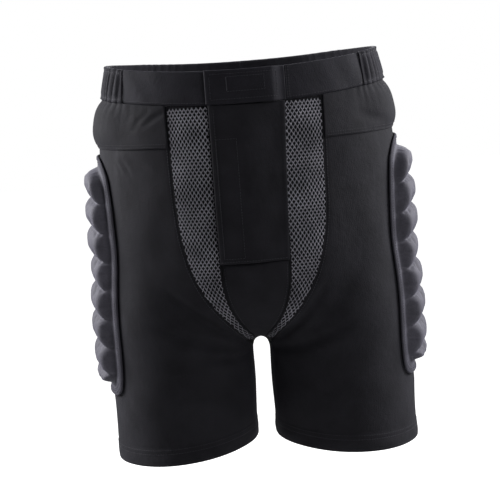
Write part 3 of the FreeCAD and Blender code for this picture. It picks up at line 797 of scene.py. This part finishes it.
places = {
    "waist_{}_patch": (*PATCH, lambda x: band_head(x) - 6, lambda x: under_band_at(x) + 7),
    "fly_{}_strip": (*HOOK_STRIP, level_line(STRIP_TOP), level_line(STRIP_BOTTOM)),
}
for (name, place), start in zip(places.items(), (BAND_FLAT_OUT + GAP, OVERLAY)):
    patch = front_patch(*place, step=1.0)
    hooks = 0.16 * np.abs(np.sin(patch.from_left * 3.1) * np.sin(patch.from_top * 3.1))
    piece_of(name.format("hook"), patch, start, start + TAPE + hooks, HOOK, "hook_tape", roll=0.4)
    start += TAPE + GAP
    inner = start - hooks * 0.8
    piece_of(name.format("loop"), patch, inner, start + TAPE, LOOP, "loop_tape", "fly", roll=0.4)

flap = front_patch(FLAP_EDGE, SEAM_TOP[0] - 1.1, under_band_at, level_line(FLAP_BOTTOM), lean=LEAN)
x, z = flap.p[..., 0], flap.p[..., 2]
fold = 0.5 * (1 - smoothstep(4.2, 5.6, flap.from_left)) + 0.35 * (1 - smoothstep(3.4, 4.6, flap.from_right))
strip = smoothstep(-32, -30, x) - smoothstep(-9, -7, x)
strip = strip * (smoothstep(-196, -193, z) - smoothstep(-73, -70, z))
flap_outer = flap_inner(x) + FLAP_THICK + fold + 0.35 * strip
for line in (HOOK_STRIP[0] + 1.5, HOOK_STRIP[1] - 1.5):
    flap_outer = flap_outer - 0.35 * np.exp(-(((x - line) / 1.1) ** 2)) * (z < STRIP_TOP) * (z > STRIP_BOTTOM)
ripple = np.sin((z + 60) / 11) * smoothstep(-40, -80, z)
flap_outer = flap_outer + 0.5 * np.exp(-(((x - 27) / 5) ** 2)) * ripple
flap_outer = flap_outer + sewn(flap.from_bottom, 0.5, 1.6)
fly_flap = piece_of("fly_flap", flap, flap_inner(x), flap_outer, SHELL, "shell", body=None)
tab = front_patch(TAB_EDGE, SEAM_TOP[0], band_head, lambda x: under_band_at(x) + GAP)
tab_x = tab.p[..., 0]
tab_outer = tab_inner(tab_x) + TAB_THICK + 0.3 * (1 - smoothstep(3, 4.4, tab.edge("lt")))
waist_tab = piece_of("waist_tab", tab, tab_inner(tab_x), tab_outer, BAND, "waistband", body=None, roll=1.4)

tab_lift, flap_lift = (lambda x: tab_inner(x) + TAB_THICK), (lambda x: flap_inner(x) + FLAP_THICK + 0.3)
stitches = Threads()
for corners in (box_path(-31, 33, -10.5, -35.5), box_path(-15, 21, -13.5, -28)):
    stitches.line(*on_front(corners, tab_lift), *TAB_STITCH)
tick = on_front([(-15, -14), (-15, -28)], lambda x: tab_lift(x) + 0.1)
stitches.line(*tick, *TICK)
stitches.line(*on_front(box_path(-29.5, -9.5, -74, -192.5), flap_lift), *FLAP_STITCH)
stitches.line(*flap.parallel("l", 4.9, flap_outer, trim=4), *EDGE_STITCH)
stitches.line(*flap.parallel("b", 2.4, flap_outer, trim=1), *FLAP_STITCH)
bar = on_front([(-32.5, -200), (-32, -217)], lambda x: PANEL_OUT + 0.1 + 0 * x)
stitches.build("fly_stitching", THREAD, "fly", "shell")
# The bar tack takes the near-black painted-shade cloth, dark as the gap at the foot of the fly opening.
seams = Threads()
seams.line(*bar, *BAR_TACK)
seams.build("fly_bar_tack", PAINTED_SHADE, "shorts", "shell")
for piece, z0 in ((fly_flap, -80), (waist_tab, -18)):
    hinge = face_point(seam_x(z0), z0, -1) * MM
    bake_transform(piece)


# ---- Waistband ----
casing_x = float(ray(ELASTIC_FROM - 0.004, -17)[0])
band_foot = (lambda x: under_band_at(x) + GAP)
spans = {"left": (SEAM_TOP[0] + 0.6, casing_x), "right": (-casing_x, UNDERLAP_END)}
seams = Threads()
for name, (x0, x1) in spans.items():
    patch = front_patch(x0, x1, band_head, band_foot, step=1.4)
    x, z = patch.p[..., 0], patch.p[..., 2]
    wrinkle = 0.5 * np.sin(x / 5 + z / 9) * smoothstep(70, 110, np.abs(x))
    outer = BAND_FLAT_OUT + wrinkle + sewn(patch.edge("b"), 0.5, 1.8)
    piece_of(f"waistband_front_{name}", patch, PANEL_IN, outer, BAND, "waistband", sides="tb", roll=1.5)
    seams.line(*patch.parallel("b", 2.6, outer), *HEM_STITCH)
    if name == "left":
        for distance in (1.2, 3.4):
            seams.line(*patch.parallel("l", distance, outer, trim=1), *BAND_STITCH)

centre_back = float(angle_at(0.0, -17, 1))
ways = np.linspace(0, 1, int((centre_back - ELASTIC_FROM) / 0.0125))
turns = ELASTIC_FROM + (centre_back - ELASTIC_FROM) * ways


def band_ray(height, side):
    """Points of the body form behind the casing at a height over its foot, which meet at the centre back."""
    z = under_band(turns) + GAP + height
    centre = angle_at(0.0, z[-1], 1)
    return ray(ELASTIC_FROM + (centre - ELASTIC_FROM) * ways, z) * np.array([side, 1, 1])


wall, bend = np.linspace(0, 31.9, 17), np.linspace(0, math.pi, 9)[1:-1]
section = [(0.95, h, -1, 0) for h in wall]
section += [(2.5 - 1.55 * math.cos(t), 31.9 + 1.55 * math.sin(t), -math.cos(t), math.sin(t)) for t in bend]
section += [(4.05, h, 1, 0) for h in wall[::-1]]


def casing(side, offset, height):
    """Points of the gathered casing at each angle of one half, for one line of its section."""
    base = band_ray(height, side)
    share = smoothstep(1.2, 3.6, offset) * 1.3 - 0.3
    pinch = 1 - 0.6 * np.exp(-(((height - 3) / 2) ** 2)) - 0.6 * np.exp(-(((height - 30) / 2) ** 2))
    start = smoothstep(0, 0.12, turns - ELASTIC_FROM)
    return base + outward(base) * (offset + share * start * pinch * gathers(base, 2.6))[:, None]


points, quads, count = [], [], 0
for side in SIDES.values():
    outer = np.stack([casing(side, o + 0.55 * no, h + 0.55 * nh) for o, h, no, nh in section], 1)
    inner = np.stack([casing(side, o - 0.55 * no, h - 0.55 * nh) for o, h, no, nh in section], 1)
    p, q = skin(outer, inner)
    points.append(p)
    quads.append(q + count)
    count += len(p)
    for height in (3.0, 30.0):
        path = casing(side, BAND_CASING_OUT, height)
        seams.line(path, outward(path), *CASING_STITCH)
whole = np.concatenate(points), np.concatenate(quads)
back = new_mesh("waistband_back", *whole, BAND, "shorts", "waistband", "waistband_back")
seams.build("waistband_stitching", THREAD, "shorts", "waistband")

strips = []
for side in SIDES.values():
    base = np.stack([band_ray(height, side) for height in np.linspace(1.5, 31.2, 9)], 1)
    strips.append(skin(base + outward(base) * 3.1, base + outward(base) * 1.9))
(p, q), (p_right, q_right) = strips
whole = np.concatenate([p, p_right]), np.concatenate([q, q_right + len(p)])
new_mesh("waist_elastic", *whole, ELASTIC, "shorts", "elastic", "waist_elastic")


# ---- Hip yokes ----
def hip_rise(p):
    """Height of the yoke over the body panel, where the hip foam lifts it."""
    angle = np.arctan2(p[..., 1], np.abs(p[..., 0]) - LEG_X)
    top = under_band(angle)
    middle, half = (top + YOKE_BOTTOM) / 2, (top - YOKE_BOTTOM) / 2 - 2
    turn = (angle - sum(HIP_FOAM) / 2) / ((HIP_FOAM[1] - HIP_FOAM[0]) / 2)
    crown = np.maximum(0, 1 - np.abs((p[..., 2] - middle) / half) ** 3)
    return HIP_FOAM_HEIGHT * crown * smoothstep(0, 0.6, 1 - np.abs(turn))


yoke_start, yoke_end = float(mesh_outer(-60)) + 0.006, float(angle_at(36, -60, 1))
for name, side in SIDES.items():
    patch = panel_patch(
        level_line(yoke_start), level_line(yoke_end), under_band, level_line(YOKE_BOTTOM), 260, 44, step=1.6,
        side=side,
    )
    puckers = gathers(patch.p, 1.5, bottom=-BAND_HEIGHT, reach=9)
    rise = hip_rise(patch.p)
    outer = OVERLAY + FABRIC + rise + puckers + sewn(patch.from_bottom, 0.4, 1.6)
    inner = OVERLAY + rise + puckers
    yoke = piece_of(f"hip_yoke_{name}", patch, inner, outer, SHELL, "shell", sides="lrb", roll=0.9)
    seams = Threads()
    for distance in (1.8, 4.6):
        seams.line(*patch.parallel("b", distance, outer, trim=2), *EDGE_STITCH)
    seams.build(f"yoke_stitching_{name}", THREAD, "shorts", "shell")
    foam = panel_patch(
        level_line(HIP_FOAM[0] + 0.12), level_line(HIP_FOAM[1] - 0.12),
        lambda a: under_band(a) - 0.12 * (under_band(a) - YOKE_BOTTOM),
        lambda a: YOKE_BOTTOM + 0.12 * (under_band(a) - YOKE_BOTTOM), 160, 33, step=2.4, side=side,
    )
    top = OVERLAY + np.maximum(0.3, hip_rise(foam.p) - 0.6)
    piece_of(f"hip_foam_{name}", foam, OVERLAY, top, FOAM, "foam")


# ---- Ribbed pads ----
class Pad:
    """A ribbed pad. s runs round the body from the pad's middle, and base gives the body form's points."""

    flange, binding, thick = 8.0, 4.5, 2.4
    shoulder = 11.0
    arch = 8.0  # how far the ribs bow down toward the sides

    def __init__(self, base, top, bottom, half_width, height, ribs, top_round, foot_round, last_rib=1.0):
        self.base, self.half_width, self.half_height = base, half_width, (top - bottom) / 2
        self.middle, self.height, self.ribs, self.last_rib = (top + bottom) / 2, height, ribs, last_rib
        self.top_round, self.foot_round = top_round, foot_round

    def pull(self, u, v):
        corner = self.foot_round + (self.top_round - self.foot_round) * smoothstep(-0.7, 0.7, v)
        power = 0.72 * (1 - corner) / corner
        return 1 - corner * np.abs(v) ** power, 1 - corner * np.abs(u) ** power

    def spot(self, u, v, inset):
        """(s, z) of a place in the square from -1 to 1, whose rim falls on the outline moved in by inset."""
        wide, high = self.pull(u, v)
        return (self.half_width - inset) * u * wide, self.middle + (self.half_height - inset) * v * high

    def inside(self, s, z):
        """Distances in from the foam's sides and from its ends, and the place along its rib from 0 to 1."""
        inset = self.binding + self.flange
        half_width, half_height = self.half_width - inset, self.half_height - inset
        u, v = s / half_width, (z - self.middle) / half_height
        for _ in range(12):
            wide, high = self.pull(np.clip(u, -1, 1), np.clip(v, -1, 1))
            u, v = s / half_width / wide, (z - self.middle) / half_height / high
        pitch = 2 * half_height / (self.ribs - 1 + self.last_rib)
        bowed = z + self.arch * (s / half_width) ** 2
        share = np.maximum(0, (self.middle + half_height - bowed) / pitch)
        last = np.minimum(1, (share - self.ribs + 1) / self.last_rib)
        share = np.where(share > self.ribs - 1, last, share % 1)
        return (1 - np.abs(u)) * half_width, (1 - np.abs(v)) * half_height, share

    def rise(self, s, z):
        """Height of the cover's underside over the flange: a rounded loaf for each rib."""
        across, end, share = self.inside(s, z)
        a, b = np.clip(across / self.shoulder, 0, 1), np.clip(end / self.shoulder, 0, 1)
        block = ((1 - (1 - a) ** 2.6) * (1 - (1 - b) ** 2.6)) ** 0.8
        loaf = (1 - np.abs(2 * share - 1) ** 2.3) ** 0.5
        return self.height * block * (0.42 + 0.58 * loaf * (1 - (1 - a) ** 2) ** 0.5)

    def held(self, s, z):
        """1 where the cover is welded or sewn down, 0 where air can lift it."""
        across, end, share = self.inside(s, z)
        seam = np.exp(-((np.minimum(share, 1 - share) / 0.07) ** 2))
        return np.maximum(1 - smoothstep(0, 3, np.minimum(across, end)), seam)


def on_seat(s, z):
    return ray(math.pi / 2 + s / SEAT_RADIUS, z)


SIDE_PAD = Pad(lambda s, z: ray(s / SIDE_RADIUS, z), *SIDE_AREA, 12.5, 8, 0.17, 0.08, last_rib=0.6)
SEAT_PAD = Pad(on_seat, *SEAT_AREA, 10, 4, 0.2, 0.2)
TAILBONE_PAD = Pad(lambda s, z: face_point(s, z, 1), *TAILBONE_AREA, 8, 3, 0.16, 0.22)
CLOTH_SCALE = 0.01  # the cloth solver works on a copy ten times as large as life
PRESSURE, FRAMES, FARTHEST = 1.8, 14, 2.0


def inflate(points, held):
    """How far each point of a grid of cloth moves when air fills it out, in millimetres."""
    rows, columns = points.shape[:2]
    mesh = bpy.data.meshes.new("cloth")
    faces = grid_quads(rows, columns)[:, ::-1]
    mesh.from_pydata((points.reshape(-1, 3) * CLOTH_SCALE).tolist(), [], faces.tolist())
    sheet = bpy.data.objects.new("cloth", mesh)
    bpy.context.scene.collection.objects.link(sheet)
    group = sheet.vertex_groups.new(name="held")
    for index, weight in enumerate(held.ravel()):
        group.add([index], float(weight), "REPLACE")
    cloth_modifier = sheet.modifiers.new("cloth", "CLOTH")
    settings = cloth_modifier.settings
    settings.quality, settings.mass, settings.air_damping = 6, 0.3, 2
    settings.tension_stiffness = settings.compression_stiffness = 12
    settings.shear_stiffness, settings.bending_stiffness = 6, 0.4
    settings.shrink_min = -0.05
    settings.use_pressure, settings.uniform_pressure_force = True, PRESSURE
    settings.vertex_group_mass, settings.pin_stiffness = group.name, 1
    settings.effector_weights.gravity = 0
    scene = bpy.context.scene
    for frame_number in range(1, FRAMES + 1):
        scene.frame_set(frame_number)
    shaped = sheet.evaluated_get(bpy.context.evaluated_depsgraph_get()).data
    moved = np.empty(len(shaped.vertices) * 3, np.float32)
    shaped.vertices.foreach_get("co", moved)
    shift = moved.reshape(points.shape) / CLOTH_SCALE - points
    bpy.data.objects.remove(sheet)
    scene.frame_set(1)
    far = np.linalg.norm(shift, axis=-1, keepdims=True)
    return shift * np.minimum(1, FARTHEST / np.maximum(far, 1e-6))


def finer(values, old, new):
    """Values along axis 0 at new places, by Hermite spans."""
    i = np.clip(np.searchsorted(old, new) - 1, 0, len(old) - 2)
    span = (old[i + 1] - old[i])[:, None, None]
    t = (new - old[i])[:, None, None] / span
    return hermite(values, np.gradient(values, old, axis=0), i, t, span)


def pad_pieces(name, pad, sides):
    """Cover, foam, binding and stitching of a pad, for each side it is on."""
    across, down = 2 * pad.half_width, 2 * pad.half_height
    u, v = np.linspace(-1, 1, int(across / 1.5)), np.linspace(1, -1, int(down / 1.3))
    s, z = pad.spot(u[None, :], v[:, None], pad.binding + 0.3)
    base, rise = pad.base(s, z), pad.rise(s, z)
    shift = np.zeros_like(base)
    cu, cv = np.linspace(-1, 1, int(across / 2.4)), np.linspace(1, -1, int(down / 2.2))
    cs, cz = pad.spot(cu[None, :], cv[:, None], pad.binding + 0.3)
    coarse = pad.base(cs, cz)
    start = coarse + outward(coarse) * (PAD_START + COVER + pad.rise(cs, cz))[..., None]
    rows = finer(inflate(start, pad.held(cs, cz)), -cv, -v)
    shift = finer(rows.swapaxes(0, 1), cu, u).swapaxes(0, 1)
    fu, fv = np.linspace(-1, 1, int(across / 3)), np.linspace(1, -1, int(down / 2.5))
    fs, fz = pad.spot(fu[None, :], fv[:, None], pad.binding + pad.flange + 3)
    way = np.linspace(0, 1, int((across + down) / 1.6))
    length = down + across
    turn = way * length
    half = pad.half_width
    rim_u = np.where(turn < half, turn / half, np.where(turn < half + down, 1, (length - turn) / half))
    rim_v = np.where(turn < half, 1, np.where(turn < half + down, 1 - 2 * (turn - half) / down, -1))
    rim_u, rim_v = np.concatenate([rim_u, -rim_u[-2:0:-1]]), np.concatenate([rim_v, rim_v[-2:0:-1]])
    w = np.linspace(0, 1, 13)
    groove = 1 - 0.3 * np.exp(-(((w - 0.5) / 0.11) ** 2))
    fold = (0.3 + 0.7 * np.sin(math.pi * np.clip(w, 0.03, 0.97)) ** 0.45) * groove

    def loop(inset):
        ls, lz = pad.spot(rim_u, rim_v, inset)
        return pad.base(ls, lz)

    for label, side in sides.items():
        flip, suffix = np.array([side, 1, 1]), f"_{label}" if label else ""

        def made(part, solid, material, slot):
            node = f"{name}_{part}{suffix}"
            return new_mesh(node, *solid, material, "shorts", slot, node)

        p, n = base * flip, outward(base * flip)
        top = p + n * (PAD_START + COVER + rise)[..., None] + shift * flip
        cover = made("cover", skin(top, top - n * COVER), COVER_CLOTH, "pad_cover")
        fp = pad.base(fs, fz) * flip
        fn = outward(fp)
        high = fp + fn * (PAD_START + np.maximum(0.4, pad.rise(fs, fz) - 0.9))[..., None]
        foam = made("foam", skin(high, fp + fn * PAD_START), FOAM, "foam")
        rings = np.stack([loop(pad.binding * x) * flip for x in w], 1)
        rn = outward(rings)
        crest = rings + rn * (PAD_START + pad.thick * fold)[None, :, None]
        made("binding", skin(crest, rings + rn * PAD_START, around=True), BINDING, "binding")
        seams = Threads()
        for inset, lift in ((pad.binding / 2, pad.thick * 0.68), (pad.binding + 2.0, COVER)):
            line = loop(inset) * flip
            line = np.concatenate([line, line[:1]])
            up = outward(line)
            seams.line(line + up * (PAD_START + lift), up, *EDGE_STITCH)
        seams.build(f"{name}_stitching{suffix}", THREAD, "shorts", "binding")


pad_pieces("side_pad", SIDE_PAD, SIDES)
pad_pieces("seat_pad", SEAT_PAD, SIDES)
pad_pieces("tailbone_pad", TAILBONE_PAD, {"": 1})

# ---- Labels ----
size_label = front_patch(-19, 19, level_line(-11.0), level_line(-31.0), step=1.2, face=1)
piece_of("size_label", size_label, -0.9, -0.4, LABEL, "label", roll=0.2)
care_label = panel_patch(level_line(math.radians(62)), level_line(math.radians(74)), level_line(-46.0),
                         level_line(-92.0), 24, 46, step=1.4)
piece_of("care_label", care_label, -0.7, -0.2, LABEL, "label", roll=0.2)


# ---- Camera, light and floor ----
CAMERA_DOWN, CAMERA_ROLL = 8.87, -4.3  # degrees
camera = bpy.data.objects.new("camera", bpy.data.cameras.new("camera"))
bpy.context.scene.collection.objects.link(camera)
camera.location = (-0.0045, -1.4, 0.016)
camera.rotation_euler = (math.radians(90 - CAMERA_DOWN), 0, 0)
camera.rotation_euler.rotate_axis("Z", math.radians(CAMERA_ROLL))
camera.data.lens, camera.data.sensor_width = 94.1, 36
bpy.context.scene.camera = camera


def soft_box(name, place, aim, width, height, power):
    data = bpy.data.lights.new(name, "AREA")
    data.shape, data.size, data.size_y, data.energy = "RECTANGLE", width, height, power
    lamp = bpy.data.objects.new(name, data)
    lamp.location = place
    away = Vector(place) - Vector(aim)
    lamp.rotation_euler = away.to_track_quat("Z", "Y").to_euler()
    bpy.context.scene.collection.objects.link(lamp)


soft_box("light_left", (-1.15, 0.22, 0.30), (-0.1, 0, -0.15), 0.7, 0.7, 53)
soft_box("light_right", (1.2, 0.2, 0.30), (0.1, 0, -0.15), 0.7, 0.7, 46)
soft_box("light_front", (0.8, -1.3, 0.7), (0, 0, -0.05), 0.6, 0.6, 14)
soft_box("light_back", (0.2, 1.2, 0.6), (0, 0, -0.1), 1.0, 0.8, 18)

world = bpy.data.worlds.new("studio")
bpy.context.scene.world = world
world.use_nodes = True
tree = world.node_tree
fill, seen = tree.nodes["Background"], tree.nodes.new("ShaderNodeBackground")
fill.inputs["Color"].default_value, fill.inputs["Strength"].default_value = (0.96, 0.97, 1, 1), 0.15
seen.inputs["Color"].default_value, seen.inputs["Strength"].default_value = (1, 1, 1, 1), 1.0
path, mix = tree.nodes.new("ShaderNodeLightPath"), tree.nodes.new("ShaderNodeMixShader")
tree.links.new(path.outputs["Is Camera Ray"], mix.inputs["Fac"])
tree.links.new(fill.outputs["Background"], mix.inputs[1])
tree.links.new(seen.outputs["Background"], mix.inputs[2])
tree.links.new(mix.outputs["Shader"], tree.nodes["World Output"].inputs["Surface"])

paper = bpy.data.materials.new("floor_paper")
paper.use_nodes = True
surface = paper.node_tree.nodes["Principled BSDF"]
surface.inputs["Base Color"].default_value = (0.5, 0.5, 0.5, 1)
surface.inputs["Emission Color"].default_value = (1, 1, 1, 1)
watched = paper.node_tree.nodes.new("ShaderNodeLightPath")
paper.node_tree.links.new(watched.outputs["Is Camera Ray"], surface.inputs["Emission Strength"])
floor_mesh = bpy.data.meshes.new("floor")
floor_mesh.from_pydata([(-8, -8, -0.9), (8, -8, -0.9), (8, 8, -0.9), (-8, 8, -0.9)], [], [(0, 1, 2, 3)])
floor_mesh.materials.append(paper)
floor = bpy.data.objects.new("floor", floor_mesh)
bpy.context.scene.collection.objects.link(floor)
bpy.context.scene.view_settings.view_transform = "Standard"
